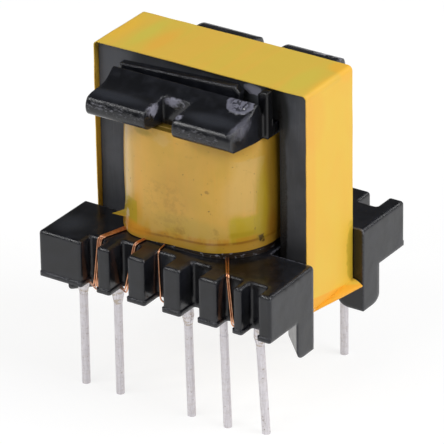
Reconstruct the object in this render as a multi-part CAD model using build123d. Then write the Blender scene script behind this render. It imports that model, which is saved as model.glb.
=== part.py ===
from build123d import *
import math
import os

os.makedirs("parts", exist_ok=True)

# Wound ferrite transformer for a circuit board: an E core pair on an upright bobbin with two pin rails.
# Millimetres. X runs along the rails, Y across them, Z up. The origin is the bobbin's axis at the pin tips.

# Pins
PIN_PITCH = 3.4
ROW_SPACING = 15.4
PIN_RADIUS = 0.35
PIN_ROOT_RADIUS = 0.33
PIN_FREE_LENGTH = 10.25
PIN_SEAT_DEPTH = 3.0
FRONT_PIN_SLOTS = (-2.5, -1.5, 0.5, 1.5, 2.5)
FRONT_PIN_TIP_SHIFTS = ((0, 0), (0, 0), (0.2, 0), (0.3, 0), (0.1, 0.75))
REAR_PIN_SLOTS = (-2.0, -1.0, 0.0, 1.0, 2.0)

# Wire ends soldered to each pin of a row, a letter for each
FRONT_PIN_WIRES = ("abc", "ab", "a", "", "ab")
REAR_PIN_WIRES = ("a", "a", "", "a", "a")

# Solder on the wired pins
SOLDER_LENGTH = 1.95
SOLDER_RADIUS = 0.5

# Pin rails
RAIL_LENGTH = 22.2
RAIL_HEIGHT = 4.05
RAIL_REACH = 6.3
RAIL_EDGE_ROUND = 0.3
RAIL_CORNER_ROUND = 0.2
SKIRT_HEIGHT = 0.35
SKIRT_PROUD = 0.1
NOTCH_DEPTH = 2.0
END_NOTCH_DEPTH = 1.45
NOTCH_WIDTH = 1.8
END_NOTCH_WIDTH = 1.6
FIRST_NOTCH_SHIFT = 0.55
LAST_NOTCH_X = 9.15
REAR_LAST_NOTCH_X = 8.8

# Standoff feet
FOOT_HEIGHT = 3.35
FOOT_LENGTH = 2.4
FOOT_DEPTH = 2.45
FOOT_ROUND = 0.7

# Bobbin tube and flanges
TUBE_WALL = 0.6
TUBE_CORNER = 1.2
WINDING_HEIGHT = 10.2
LOWER_FLANGE_THICKNESS = 2.0
UPPER_FLANGE_THICKNESS = 1.0
LIP_REACH = 5.5
LIP_FRONT_HEIGHT = 1.62
LIP_DROP = 0.38
FRONT_LIP_TRIM = 0.45
REAR_LIP_TRIM = 0.75
RIDGE_RISE = 3.2
LIP_NOTCH_WIDTH = 2.65
LIP_NOTCH_DEPTH = 2.75
LIP_NOTCH_X = -0.175
BAR_THICKNESS = 0.75
BAR_LEFT_RISE = 3.2
BAR_RIGHT_RISE = 3.8
BAR_END_X = 4.4
BAR_END_CUT = 0.5
POST_START_X = 6.2
POST_RISE = 3.95
POST_CUT = 0.2

# Points on the lip's section: the nose in from its front and up from its foot,
# the hollow in from the front and up from the nose, the ridge out from the bar and up from its crest
LIP_UNDERCUT = 1.0
LIP_NOSE = ((0.6, 0.0), (0.08, 0.45), (0.0, 0.9))
LIP_NOSE_TOP_INSET = 0.3
LIP_HOLLOW = ((1.1, 0.2), (2.1, 0.26))
LIP_RIDGE = ((1.45, -0.45), (0.8, 0.0), (0.3, -0.5))
LIP_RIDGE_FOOT = 0.1

# Ferrite core
CENTRE_LEG = 5.7
CORE_THICKNESS = 5.7
WINDOW_WIDTH = 4.4
OUTER_LEG = 2.75
YOKE = 2.9
CORE_EDGE_ROUND = 0.3
AIR_GAP = 0.3
CORE_SHIFT_Y = 0.28
TUBE_CLEARANCE = 0.3
FLANGE_CLEARANCE = 0.1
FLANGE_SIDE_CLEARANCE = 0.2
BAR_CLEARANCE = 0.35

# Tape around the core
TAPE_WIDTH = 6.8
TAPE_THICKNESS = 0.12
TAPE_SEAT = 0.03
TAIL_START = 0.5
TAIL_RISE = 0.45
TAIL_FLARE = 1.05

# Winding layers from the tube outward, each with its build-up
LAYERS = (
    ("primary_winding", 0.95),
    ("primary_tape", 0.12),
    ("secondary_winding", 0.8),
    ("secondary_tape", 0.12),
    ("auxiliary_winding", 0.35),
    ("auxiliary_tape", 0.12),
)
OUTER_WINDING_BUILD = 0.4
COIL_TAPE_BUILD = 0.14
BELLY = 0.15
FREE_SIDE_SWELL = 1.095
CORNER_SWELL = 1.15
COIL_TAPE_GAP = 0.4

# Lead wires
WIRE_RADIUS = 0.07
WIRE_LIFT = 0.03
STRAND_STEP = 0.17
JOINT_DROP = 0.4

# Where each front wire leaves the coil, and how far off its notch's middle it crosses the brim and the foot
FRONT_LEAD_EXITS = (-5.3, -2.9, -0.9, 0, 4.5)
FRONT_LEAD_BRIMS = (0.05, 0.3, -0.75, 0, -0.65)
FRONT_LEAD_FEET = (-0.5, -0.7, -0.6, 0, -0.2)
REAR_LEAD_SPREAD = 0.8

# Levels and reaches that follow from the sizes above
UNDERSIDE_Z = PIN_FREE_LENGTH
DECK_Z = UNDERSIDE_Z + RAIL_HEIGHT
FOOT_Z = UNDERSIDE_Z - FOOT_HEIGHT
LOWER_FLANGE_Z = DECK_Z - LOWER_FLANGE_THICKNESS
UPPER_FLANGE_Z = DECK_Z + WINDING_HEIGHT
BOBBIN_TOP_Z = UPPER_FLANGE_Z + UPPER_FLANGE_THICKNESS
WINDOW_BOTTOM_Z = LOWER_FLANGE_Z - FLANGE_CLEARANCE
WINDOW_TOP_Z = BOBBIN_TOP_Z + FLANGE_CLEARANCE
CORE_BOTTOM_Z = WINDOW_BOTTOM_Z - YOKE
CORE_TOP_Z = WINDOW_TOP_Z + YOKE
CORE_MIDDLE_Z = (CORE_BOTTOM_Z + CORE_TOP_Z) / 2
CORE_HEIGHT = CORE_TOP_Z - CORE_BOTTOM_Z
WINDOW_INNER_X = CENTRE_LEG / 2
WINDOW_OUTER_X = WINDOW_INNER_X + WINDOW_WIDTH
FLANGE_HALF_LENGTH = WINDOW_OUTER_X - FLANGE_SIDE_CLEARANCE
CORE_HALF_LENGTH = WINDOW_OUTER_X + OUTER_LEG
HOLE_X = CENTRE_LEG / 2 + TUBE_CLEARANCE
HOLE_Y = CORE_THICKNESS / 2 + TUBE_CLEARANCE
TUBE_X = HOLE_X + TUBE_WALL
TUBE_Y = HOLE_Y + TUBE_WALL
RAIL_FRONT_Y = TUBE_Y + RAIL_REACH
PIN_ROW_Y = ROW_SPACING / 2
BAR_INNER_Y = CORE_THICKNESS / 2 + BAR_CLEARANCE
BAR_OUTER_Y = BAR_INNER_Y + BAR_THICKNESS
LIP_FRONT_Y = BAR_INNER_Y + LIP_REACH
TAPE_HALF_LENGTH = CORE_HALF_LENGTH + TAPE_SEAT + TAPE_THICKNESS
FIRST_NOTCH_X = -2 * PIN_PITCH + FIRST_NOTCH_SHIFT


def block(x_range, y_range, z_range):
    """A box between two limits on each axis."""
    middle = [sum(limits) / 2 for limits in (x_range, y_range, z_range)]
    size = [max(limits) - min(limits) for limits in (x_range, y_range, z_range)]
    return Pos(*middle) * Box(*size)


def save(shape, node):
    """Write one piece under its own name."""
    shape.label = node
    export_step(shape, "parts/" + node + ".step")


# Bobbin


def front_notches():
    """Middle, width and depth of each wire notch in the front rail."""
    between_pins = [PIN_PITCH * step for step in (-1, 0, 1)]
    notches = [(x, NOTCH_WIDTH, NOTCH_DEPTH) for x in between_pins]
    notches.append((FIRST_NOTCH_X, END_NOTCH_WIDTH, END_NOTCH_DEPTH))
    notches.append((2 * PIN_PITCH, END_NOTCH_WIDTH, END_NOTCH_DEPTH))
    notches.append((LAST_NOTCH_X, END_NOTCH_WIDTH, END_NOTCH_DEPTH))
    return notches


def rear_notches():
    """Middle, width and depth of each wire notch in the rear rail."""
    half_steps = [PIN_PITCH * step for step in (-1.5, -0.5, 0.5, 1.5)]
    places = [-REAR_LAST_NOTCH_X] + half_steps + [REAR_LAST_NOTCH_X]
    return [(x, NOTCH_WIDTH, NOTCH_DEPTH) for x in places]


def rail_outline(side, notches, proud):
    """Plan of one rail with its notches, its long side and notch walls grown by a small amount."""
    depth = RAIL_REACH + proud
    middle_y = side * (TUBE_Y + depth / 2)
    outline = Pos(0, middle_y) * Rectangle(RAIL_LENGTH, depth)
    for x, width, notch_depth in notches:
        reach = notch_depth + proud
        notch_y = side * (RAIL_FRONT_Y + proud - reach / 2)
        outline -= Pos(x, notch_y) * Rectangle(width - 2 * proud, reach)
    outer = [v for v in outline.vertices() if abs(v.Y) > TUBE_Y + 0.1]
    return fillet(outer, RAIL_CORNER_ROUND)


def rail(side, notches):
    """One pin rail: a notched bar with rounded top edges and a thin skirt along its foot."""
    body = extrude(Pos(0, 0, UNDERSIDE_Z) * rail_outline(side, notches, 0), RAIL_HEIGHT)
    top = body.faces().sort_by(Axis.Z)[-1]
    rim = [e for e in top.edges() if abs(e.center().Y) > TUBE_Y + 0.1]
    body = fillet(rim, RAIL_EDGE_ROUND)
    skirt = extrude(Pos(0, 0, UNDERSIDE_Z) * rail_outline(side, notches, SKIRT_PROUD), SKIRT_HEIGHT)
    return body + skirt


def foot(x_side, side):
    """A three-cornered standoff foot under one end of a rail."""
    outer_x = RAIL_LENGTH / 2
    plan = Polyline(
        (x_side * outer_x, side * TUBE_Y),
        (x_side * (outer_x - FOOT_LENGTH), side * TUBE_Y),
        (x_side * outer_x, side * (TUBE_Y + FOOT_DEPTH)),
        close=True,
    )
    body = extrude(Pos(0, 0, FOOT_Z) * make_face(plan), FOOT_HEIGHT)
    sole = body.faces().sort_by(Axis.Z)[0]
    slant = sole.edges().sort_by(SortBy.LENGTH)[-1]
    return fillet(slant, FOOT_ROUND)


def lip_profile(side):
    """Section across one open side of the upper flange: a nose, a hollow slope and a ridge."""
    base = UPPER_FLANGE_Z
    nose_low = base + LIP_DROP
    nose_top = nose_low + LIP_FRONT_HEIGHT
    crest = base + RIDGE_RISE
    nose_points = [(side * (LIP_FRONT_Y - inset), nose_low + rise) for inset, rise in LIP_NOSE]
    nose_points.append((side * (LIP_FRONT_Y - LIP_NOSE_TOP_INSET), nose_top))
    hollow = [(side * (LIP_FRONT_Y - inset), nose_top + rise) for inset, rise in LIP_HOLLOW]
    ridge = [(side * (BAR_OUTER_Y + reach), crest + rise) for reach, rise in LIP_RIDGE]
    underside = Polyline(
        (side * BAR_INNER_Y, base),
        (side * (BAR_OUTER_Y + LIP_UNDERCUT), base),
        nose_points[0],
    )
    back = Polyline(
        ridge[-1],
        (side * (BAR_OUTER_Y + LIP_RIDGE_FOOT), nose_top),
        (side * BAR_INNER_Y, nose_top),
        (side * BAR_INNER_Y, base),
    )
    slope = Spline(nose_points[-1], *hollow, *ridge)
    return make_face(Plane.YZ * (underside + Spline(*nose_points) + slope + back))


def lip(side, trim):
    """One open side of the upper flange, short at its right end, with the wire notch through its middle."""
    length = 2 * FLANGE_HALF_LENGTH - trim
    body = Pos(-FLANGE_HALF_LENGTH, 0, 0) * extrude(lip_profile(side), length, dir=(1, 0, 0))
    notch_y = (side * (LIP_FRONT_Y - LIP_NOTCH_DEPTH), side * (LIP_FRONT_Y + 1))
    notch_x = (LIP_NOTCH_X - LIP_NOTCH_WIDTH / 2, LIP_NOTCH_X + LIP_NOTCH_WIDTH / 2)
    body -= block(notch_x, notch_y, (UPPER_FLANGE_Z - 1, CORE_TOP_Z))
    return body


def bar(side):
    """The wall that stands against the core on one side of the upper flange."""
    base = UPPER_FLANGE_Z
    nose_top = base + LIP_DROP + LIP_FRONT_HEIGHT
    face = Polyline(
        (-FLANGE_HALF_LENGTH, base),
        (-FLANGE_HALF_LENGTH, base + BAR_LEFT_RISE),
        (BAR_END_X - BAR_END_CUT, base + BAR_RIGHT_RISE),
        (BAR_END_X, base + BAR_RIGHT_RISE - BAR_END_CUT),
        (BAR_END_X, nose_top),
        (POST_START_X, nose_top),
        (POST_START_X, base + POST_RISE - POST_CUT),
        (POST_START_X + POST_CUT, base + POST_RISE),
        (FLANGE_HALF_LENGTH, base + POST_RISE),
        (FLANGE_HALF_LENGTH, base),
        close=True,
    )
    wall = extrude(Plane.XZ * make_face(face), BAR_THICKNESS, dir=(0, side, 0))
    return Pos(0, side * BAR_INNER_Y, 0) * wall


def bobbin():
    """The moulded bobbin: tube, lower flange, two rails with feet, and the upper flange."""
    window_y = (-BAR_INNER_Y, BAR_INNER_Y)
    flange_x = (-FLANGE_HALF_LENGTH, FLANGE_HALF_LENGTH)
    tube_plan = Pos(0, 0, LOWER_FLANGE_Z) * RectangleRounded(2 * TUBE_X, 2 * TUBE_Y, TUBE_CORNER)
    body = extrude(tube_plan, BOBBIN_TOP_Z - LOWER_FLANGE_Z)
    body += block(flange_x, (-TUBE_Y, TUBE_Y), (LOWER_FLANGE_Z, DECK_Z))
    body += block(flange_x, window_y, (UPPER_FLANGE_Z, BOBBIN_TOP_Z))
    for side, notches, trim in ((-1, front_notches(), FRONT_LIP_TRIM), (1, rear_notches(), REAR_LIP_TRIM)):
        body += rail(side, notches)
        body += foot(-1, side)
        body += foot(1, side)
        body += lip(side, trim)
        body += bar(side)
    body -= block((-HOLE_X, HOLE_X), (-HOLE_Y, HOLE_Y), (LOWER_FLANGE_Z - 1, BOBBIN_TOP_Z + 1))
    return body


# Pins and solder


def pin_frame(x, side, tip_shift):
    """Frame at a pin's root with its Z down along the pin, whose tip stands a little off the root."""
    root = (x, side * PIN_ROW_Y, UNDERSIDE_Z)
    return Plane(origin=root, z_dir=(tip_shift[0], tip_shift[1], -PIN_FREE_LENGTH))


def rod(start, end, radius):
    """A round rod along Z between two heights of its frame."""
    return Pos(0, 0, (start + end) / 2) * Cylinder(radius, end - start)


def pin(x, side, tip_shift):
    """A round pin: a slimmer root held in the rail and a shank cut off flat at board depth."""
    frame = pin_frame(x, side, tip_shift)
    neck = frame * rod(0, SOLDER_LENGTH, PIN_ROOT_RADIUS)
    shank = frame * rod(SOLDER_LENGTH, PIN_FREE_LENGTH + 1, PIN_RADIUS)
    root = Pos(x, side * PIN_ROW_Y, UNDERSIDE_Z) * rod(0, PIN_SEAT_DEPTH, PIN_ROOT_RADIUS)
    body = root + neck + shank
    if any(tip_shift):
        body += frame * Sphere(PIN_ROOT_RADIUS)
    return body - block((-RAIL_LENGTH, RAIL_LENGTH), (-ROW_SPACING, ROW_SPACING), (-2, 0))


def solder(x, side, tip_shift, wires):
    """The solder sleeve around a pin's neck, with its wire ends let in."""
    frame = pin_frame(x, side, tip_shift)
    middle = SOLDER_LENGTH * 0.6
    upper = frame * Pos(0, 0, middle / 2) * Cone(SOLDER_RADIUS * 0.85, SOLDER_RADIUS, middle)
    rest = SOLDER_LENGTH - middle
    lower = frame * Pos(0, 0, middle + rest / 2) * Cone(SOLDER_RADIUS, PIN_RADIUS, rest)
    body = upper + lower
    body -= frame * rod(-1, SOLDER_LENGTH + 1, PIN_ROOT_RADIUS)
    body -= block((-RAIL_LENGTH, RAIL_LENGTH), (-ROW_SPACING, ROW_SPACING), (UNDERSIDE_Z, DECK_Z))
    for wire in wires:
        body -= wire
    return body


# Core


def core_blank():
    """The outline of the closed core pair with its two windows, as one thickness of ferrite."""
    plane = Plane.XZ.offset(-CORE_SHIFT_Y - CORE_THICKNESS / 2)
    outline = Pos(0, CORE_MIDDLE_Z) * RectangleRounded(2 * CORE_HALF_LENGTH, CORE_HEIGHT, CORE_EDGE_ROUND)
    window_height = WINDOW_TOP_Z - WINDOW_BOTTOM_Z
    for x_side in (-1, 1):
        x = x_side * (WINDOW_INNER_X + WINDOW_WIDTH / 2)
        outline -= Pos(x, CORE_MIDDLE_Z) * Rectangle(WINDOW_WIDTH, window_height)
    return extrude(plane * outline, CORE_THICKNESS)


def core_half(z_range):
    """One E of the core, with its centre leg ground short for the air gap."""
    wide_y = (-ROW_SPACING, ROW_SPACING)
    half = core_blank() & block((-RAIL_LENGTH, RAIL_LENGTH), wide_y, z_range)
    gap_z = (CORE_MIDDLE_Z - AIR_GAP / 2, CORE_MIDDLE_Z + AIR_GAP / 2)
    return half - block((-WINDOW_INNER_X, WINDOW_INNER_X), wide_y, gap_z)


def core_tape():
    """The tape around the core pair, with the corner of its end lifted at the lower right."""
    outer_x = TAPE_HALF_LENGTH
    plane = Plane.XZ.offset(-CORE_SHIFT_Y - TAPE_WIDTH / 2)
    grown = 2 * (TAPE_SEAT + TAPE_THICKNESS)
    outer = RectangleRounded(2 * outer_x, CORE_HEIGHT + grown, CORE_EDGE_ROUND + TAPE_SEAT + TAPE_THICKNESS)
    inner = RectangleRounded(
        2 * (outer_x - TAPE_THICKNESS), CORE_HEIGHT + 2 * TAPE_SEAT, CORE_EDGE_ROUND + TAPE_SEAT
    )
    band = extrude(plane * (Pos(0, CORE_MIDDLE_Z) * (outer - inner)), TAPE_WIDTH)
    back_y = CORE_SHIFT_Y + TAPE_WIDTH / 2
    fold_x = outer_x - TAPE_THICKNESS
    fold_front = (fold_x, CORE_SHIFT_Y - TAPE_WIDTH / 2 + TAIL_START, CORE_BOTTOM_Z)
    fold_back = (fold_x, back_y, CORE_BOTTOM_Z + TAIL_RISE)
    tip = (fold_x + TAIL_FLARE, back_y, CORE_BOTTOM_Z)
    corner = make_face(Polyline(fold_front, fold_back, tip, close=True))
    return band + extrude(corner, TAPE_THICKNESS, dir=(1, 0, 0))


# Coil


def coil_outline(build):
    """Plan of the coil at one build-up: a rounded rectangle, fuller on its two free sides."""
    free_y = TUBE_Y + build * FREE_SIDE_SWELL
    return RectangleRounded(2 * (TUBE_X + build), 2 * free_y, TUBE_CORNER + build * CORNER_SWELL)


def layer(inner_build, outer_build):
    """One straight-sided layer between the flanges."""
    ring = coil_outline(outer_build) - coil_outline(inner_build)
    return extrude(Pos(0, 0, DECK_Z) * ring, WINDING_HEIGHT)


def barrel(build, z_low):
    """A full coil body that swells a little at half height."""
    z_high = UPPER_FLANGE_Z
    stations = ((z_low, build), ((z_low + z_high) / 2, build + BELLY), (z_high, build))
    return loft([Pos(0, 0, z) * coil_outline(size) for z, size in stations])


def coil():
    """The winding layers from the tube outward, by name."""
    pieces = {}
    build = 0
    for node, thickness in LAYERS:
        pieces[node] = layer(build, build + thickness)
        build += thickness
    core_space = extrude(Pos(0, 0, DECK_Z - 1) * coil_outline(build), WINDING_HEIGHT + 2)
    outer_build = build + OUTER_WINDING_BUILD
    winding = barrel(outer_build, DECK_Z)
    tape_low = DECK_Z + COIL_TAPE_GAP
    pieces["outer_winding"] = winding - core_space
    pieces["coil_tape"] = barrel(outer_build + COIL_TAPE_BUILD, tape_low) - winding
    return pieces


# Lead wires


def wire(points):
    """A round wire through a list of points, bent round the rail's edge."""
    path = FilletPolyline(*points, radius=RAIL_EDGE_ROUND + WIRE_RADIUS + WIRE_LIFT)
    return sweep(Plane(origin=path @ 0, z_dir=path % 0) * Circle(WIRE_RADIUS), path)


def coil_edge(x):
    """How far out the wound coil reaches across the rails at one place along them."""
    build = sum(thickness for node, thickness in LAYERS) + OUTER_WINDING_BUILD
    corner = TUBE_CORNER + build * CORNER_SWELL
    into_corner = max(0, abs(x) - (TUBE_X + build - corner))
    return TUBE_Y + build * FREE_SIDE_SWELL - corner + math.sqrt(corner**2 - into_corner**2)


def lead(side, exit_x, brim_x, foot_x, pin_x, notch_depth, lane):
    """A wire from the coil over the deck, down the back of a notch and across to its pin."""
    clear = WIRE_RADIUS + WIRE_LIFT
    shift = lane * STRAND_STEP
    exit_y = coil_edge(exit_x + shift) + clear
    wall = RAIL_FRONT_Y - notch_depth + clear
    toward_pin = math.copysign(1, pin_x - foot_x)
    joint_x = pin_x - toward_pin * (PIN_RADIUS + clear)
    joint_z = UNDERSIDE_Z - JOINT_DROP + toward_pin * shift
    points = (
        (exit_x + shift, side * exit_y, DECK_Z + clear),
        (brim_x + shift, side * wall, DECK_Z + clear),
        (foot_x + shift, side * wall, joint_z),
        (joint_x, side * PIN_ROW_Y, joint_z),
    )
    return wire(points)


def front_leads():
    """The wires of each front pin in turn."""
    notch_x = (FIRST_NOTCH_X, -PIN_PITCH, 0, PIN_PITCH, 2 * PIN_PITCH)
    depths = (END_NOTCH_DEPTH, NOTCH_DEPTH, NOTCH_DEPTH, NOTCH_DEPTH, END_NOTCH_DEPTH)
    offsets = zip(FRONT_LEAD_EXITS, FRONT_LEAD_BRIMS, FRONT_LEAD_FEET)
    for slot, x, depth, (exit_x, brim, foot_offset), letters in zip(
        FRONT_PIN_SLOTS, notch_x, depths, offsets, FRONT_PIN_WIRES
    ):
        route = (-1, exit_x, x + brim, x + foot_offset, slot * PIN_PITCH, depth)
        yield [lead(*route, lane) for lane, letter in enumerate(letters)]


def rear_leads():
    """The wires of each rear pin in turn, each down the notch beside it."""
    for slot, letters in zip(REAR_PIN_SLOTS, REAR_PIN_WIRES):
        pin_x = slot * PIN_PITCH
        notch_x = pin_x - math.copysign(PIN_PITCH / 2, pin_x)
        route = (1, notch_x * REAR_LEAD_SPREAD, notch_x, notch_x, pin_x, NOTCH_DEPTH)
        yield [lead(*route, lane) for lane, letter in enumerate(letters)]


def save_row(body, row, side, pins):
    """Write one row's pins, wires and solder, and return the body with the pins' seats cut in it."""
    for number, (slot, tip_shift, wires, tags) in enumerate(pins, start=1):
        x = slot * PIN_PITCH
        place = row + "_" + str(number)
        terminal = pin(x, side, tip_shift)
        body -= terminal
        save(terminal, "pin_" + place)
        for tag, shape in zip(tags, wires):
            save(shape, "lead_" + place + (tag if len(tags) > 1 else ""))
        if wires:
            save(solder(x, side, tip_shift, wires), "solder_" + place)
    return body


def build():
    """Make every piece and write it."""
    upright = ((0, 0),) * len(REAR_PIN_SLOTS)
    front_pins = zip(FRONT_PIN_SLOTS, FRONT_PIN_TIP_SHIFTS, front_leads(), FRONT_PIN_WIRES)
    rear_pins = zip(REAR_PIN_SLOTS, upright, rear_leads(), REAR_PIN_WIRES)
    body = save_row(bobbin(), "front", -1, front_pins)
    body = save_row(body, "rear", 1, rear_pins)
    save(body, "bobbin")
    for node, shape in coil().items():
        save(shape, node)
    save(core_half((CORE_BOTTOM_Z - 1, CORE_MIDDLE_Z)), "lower_core")
    save(core_half((CORE_MIDDLE_Z, CORE_TOP_Z + 1)), "upper_core")
    save(core_tape(), "core_tape")


build()
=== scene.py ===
import math
from functools import partial
from types import SimpleNamespace

import bmesh
import bpy
from mathutils import Matrix, Vector, noise


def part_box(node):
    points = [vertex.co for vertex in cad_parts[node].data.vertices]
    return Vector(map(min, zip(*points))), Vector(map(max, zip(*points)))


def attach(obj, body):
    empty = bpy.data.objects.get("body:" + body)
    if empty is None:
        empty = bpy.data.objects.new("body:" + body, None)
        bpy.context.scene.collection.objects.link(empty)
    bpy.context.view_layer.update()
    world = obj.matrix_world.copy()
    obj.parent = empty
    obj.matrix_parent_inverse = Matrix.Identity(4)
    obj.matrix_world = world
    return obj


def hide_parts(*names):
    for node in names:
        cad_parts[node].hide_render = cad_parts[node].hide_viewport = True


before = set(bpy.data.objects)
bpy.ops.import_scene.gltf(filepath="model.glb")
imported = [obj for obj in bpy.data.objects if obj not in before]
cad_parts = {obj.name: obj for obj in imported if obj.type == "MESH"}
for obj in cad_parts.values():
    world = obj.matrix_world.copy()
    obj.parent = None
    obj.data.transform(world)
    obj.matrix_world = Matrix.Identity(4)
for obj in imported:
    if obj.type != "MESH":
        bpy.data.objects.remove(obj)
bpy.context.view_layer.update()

MM = 0.001


def corners(node):
    """The lowest and the highest corner of a CAD node, in millimetres."""
    return [[round(value / MM, 3) for value in corner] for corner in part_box(node)]


# Camera, in degrees and millimetres
CAMERA_AZIMUTH = 33.87
CAMERA_ELEVATION = 26.81
CAMERA_ROLL = -0.86
CAMERA_DISTANCE = 366.7
CAMERA_AIM = (-1.16, 1.66, 12.65)
CAMERA_LENS = 364.86
CAMERA_SENSOR = 36

# Core's front face, in millimetres
CORE_FRONT = corners("upper_core")[0][1]

# Tape round the core, in millimetres, as wide and as high as the CAD node that it replaces
(band_left, BAND_FRONT, BAND_LOW), (flap_right, BAND_BACK, BAND_HIGH) = corners("core_tape")
BAND_HALF = -band_left
BAND_CORNER = 0.45
BAND_THICKNESS = 0.07
BAND_INSET = 0.03
BAND_SLACK = 0.025
BAND_RIPPLE = 0.008
BAND_EDGE_WAVER = 0.05

# Flared end of the core's tape, in millimetres
FLAP_FOLD_FRONT = Vector((10.05, -2.62, 9.3))
FLAP_FOLD_BACK = Vector((10.05, 3.66, 9.75))
FLAP_TIP = Vector((flap_right - 0.1, 3.66, 9.3))
FLAP_THICKNESS = 0.1
FLAP_CURL = 0.1
FLAP_WAVER = 0.03

# Coil, in millimetres
TUBE_HALF = 3.75
TUBE_CORNER = 1.2
COIL_LOW = corners("outer_winding")[0][2]
COIL_HIGH = corners("outer_winding")[1][2]
COIL_BUILD = 3.0
COIL_BELLY = 0.15
FREE_SIDE_SWELL = 1.095
CORNER_SWELL = 1.15

# Tape round the coil, in millimetres, and its lap in degrees round the coil
WRAP_THICKNESS = 0.02
WRAP_INSET = 0.03
WRAP_LOW_GAP = 0.06
WRAP_HIGH_GAP = 0.01
WRAP_SLANT = 0.055
WRAP_SLANT_START = -3.3
WRAP_WAVE = 0.026
WRAP_WRINKLE = 0.010
WRAP_EDGE_WAVER = 0.04
HEM_HEIGHT = 0.85
HEM_STEP = 0.05
HEM_FADE = 0.2
LAP_START = -53
LAP_END = -36.5
LAP_LOW = 16.4
LAP_STEP = 0.04

# Lower left of the coil's tape, where it lifts off the coil, in millimetres
LIFT = 0.36
LIFT_RIGHT = -2.4
LIFT_RIGHT_FADE = 1.8
LIFT_REAR = -2.5
LIFT_REAR_FADE = 2.0
LIFT_TOP = 16.8
LIFT_TOP_FADE = 2.2

# Loose corner of the coil's tape, in millimetres
TAB_HIGH = Vector((-5.22, -5.88, 16.05))
TAB_FOOT = Vector((-5.24, -5.90, 15.25))
TAB_TIP = Vector((-6.35, -6.50, 15.55))

# How finely the new pieces are divided
BAND_SIDE_STEPS = 72
BAND_CORNER_STEPS = 8
BAND_COLUMNS = 28
FLAP_STEPS = 30
FLAP_COLUMNS = 8
WRAP_SIDE_STEPS = 20
WRAP_CORNER_STEPS = 44
WRAP_ROWS = 52
TAB_STEPS = 8
TAB_COLUMNS = 4


# Shader helpers


def new_material(name):
    """A material with an empty node tree, its output and its main shader."""
    material = bpy.data.materials.new(name)
    material.use_nodes = True
    nodes = material.node_tree.nodes
    nodes.clear()
    output = nodes.new("ShaderNodeOutputMaterial")
    shader = nodes.new("ShaderNodeBsdfPrincipled")
    material.node_tree.links.new(shader.outputs["BSDF"], output.inputs["Surface"])
    return material, material.node_tree, shader


def link(tree, source, target):
    """Join two sockets."""
    tree.links.new(source, target)


def position(tree):
    """Object coordinates in millimetres."""
    coordinates = tree.nodes.new("ShaderNodeTexCoord")
    scale = tree.nodes.new("ShaderNodeVectorMath")
    scale.operation = "SCALE"
    scale.inputs["Scale"].default_value = 1 / MM
    link(tree, coordinates.outputs["Object"], scale.inputs[0])
    return scale.outputs["Vector"]


def stretched(tree, vector, scale):
    """A vector scaled by its own factor on each axis."""
    node = tree.nodes.new("ShaderNodeVectorMath")
    node.operation = "MULTIPLY"
    node.inputs[1].default_value = scale
    link(tree, vector, node.inputs[0])
    return node.outputs["Vector"]


def noise_value(tree, vector, scale, detail, roughness=0.55):
    """Fractal noise between 0 and 1."""
    node = tree.nodes.new("ShaderNodeTexNoise")
    node.inputs["Scale"].default_value = scale
    node.inputs["Detail"].default_value = detail
    node.inputs["Roughness"].default_value = roughness
    link(tree, vector, node.inputs["Vector"])
    return node.outputs["Fac"]


def remap(tree, value, low, high, to_low=0.0, to_high=1.0):
    """A value moved smoothly from one range to another, clamped."""
    node = tree.nodes.new("ShaderNodeMapRange")
    node.interpolation_type = "SMOOTHSTEP"
    node.inputs["From Min"].default_value = low
    node.inputs["From Max"].default_value = high
    node.inputs["To Min"].default_value = to_low
    node.inputs["To Max"].default_value = to_high
    link(tree, value, node.inputs["Value"])
    return node.outputs["Result"]


def combine(tree, first, second, operation):
    """One arithmetic step between two values, either of which may be a number."""
    node = tree.nodes.new("ShaderNodeMath")
    node.operation = operation
    for socket, value in zip(node.inputs, (first, second)):
        if isinstance(value, (int, float)):
            socket.default_value = value
        else:
            link(tree, value, socket)
    return node.outputs["Value"]


def chain(tree, operation, first, *others):
    """Several values joined by one operation, from left to right."""
    for other in others:
        first = combine(tree, first, other, operation)
    return first


def product(tree, *values):
    """Values multiplied together."""
    return chain(tree, "MULTIPLY", *values)


def total(tree, *values):
    """Values added up."""
    return chain(tree, "ADD", *values)


def highest(tree, *values):
    """The highest of several values."""
    return chain(tree, "MAXIMUM", *values)


def mix_colour(tree, factor, first, second):
    """Two colours mixed by a factor; each may be a colour or a socket."""
    node = tree.nodes.new("ShaderNodeMix")
    node.data_type = "RGBA"
    link(tree, factor, node.inputs[0])
    for socket, value in ((node.inputs[6], first), (node.inputs[7], second)):
        if isinstance(value, tuple):
            socket.default_value = (*value, 1.0)
        else:
            link(tree, value, socket)
    return node.outputs[2]


def bump(tree, height, distance, strength, normal=None):
    """A normal from a height between 0 and 1, in millimetres of relief."""
    node = tree.nodes.new("ShaderNodeBump")
    node.inputs["Strength"].default_value = strength
    node.inputs["Distance"].default_value = distance * MM
    if normal:
        link(tree, normal, node.inputs["Normal"])
    link(tree, height, node.inputs["Height"])
    return node.outputs["Normal"]


def reach(tree, place, centre, radius, ragged=0.0):
    """Distance from a point as a share of an ellipsoid's radius, uneven if asked."""
    shift = tree.nodes.new("ShaderNodeVectorMath")
    shift.operation = "SUBTRACT"
    shift.inputs[1].default_value = centre
    link(tree, place, shift.inputs[0])
    scaled = stretched(tree, shift.outputs["Vector"], tuple(1 / size for size in radius))
    length = tree.nodes.new("ShaderNodeVectorMath")
    length.operation = "LENGTH"
    link(tree, scaled, length.inputs[0])
    distance = length.outputs["Value"]
    if ragged:
        torn = noise_value(tree, place, 2.2, 3.0)
        distance = total(tree, distance, remap(tree, torn, 0.3, 0.7, -ragged, ragged))
    return distance


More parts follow.
